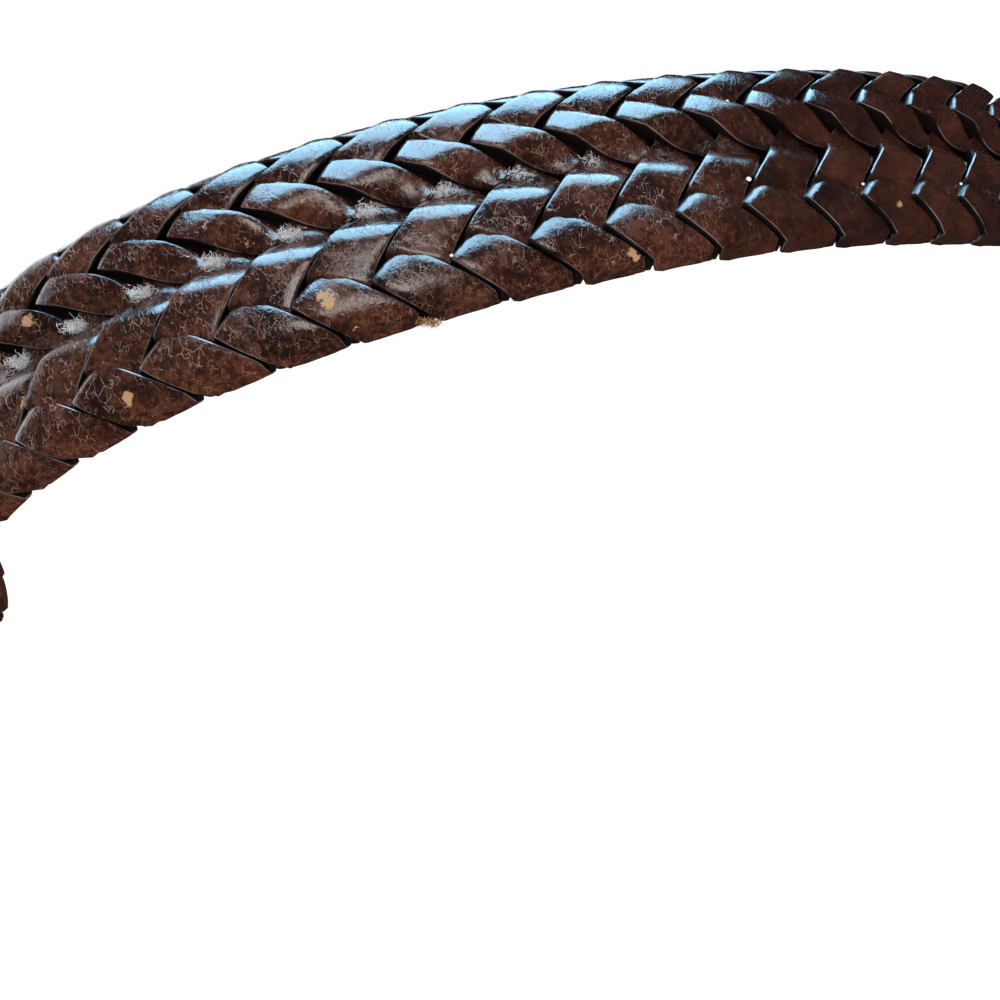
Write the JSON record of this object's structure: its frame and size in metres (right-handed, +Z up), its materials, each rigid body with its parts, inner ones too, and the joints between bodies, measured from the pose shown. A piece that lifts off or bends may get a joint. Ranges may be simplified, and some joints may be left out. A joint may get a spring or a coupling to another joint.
{
  "type": "braided leather belt, buckled",
  "caption": "Thick flat-braided dark brown leather belt, buckled into a waist-shaped oval and standing on its edge, with plain leather ends and a plain frame buckle.",
  "frame": {"origin": "on the surface that the belt stands on, under the middle of its overall box", "axes": "+Z up across the belt's width; +X along the long way of the oval; -Y towards the front of the waist, with the buckle at the back on +Y"},
  "size_m": [0.3668, 0.226, 0.038],
  "materials": {
    "braid_leather": "glossy worn dark brown, crazed",
    "end_leather": "smooth dark brown, waxed",
    "buckle_metal": "aged, softly polished"
  },
  "bodies": {
    "root": {"braided_band": "braid_leather", "buckle_tab": "end_leather", "tongue": "end_leather", "buckle": "buckle_metal"}
  },
  "joints": []
}
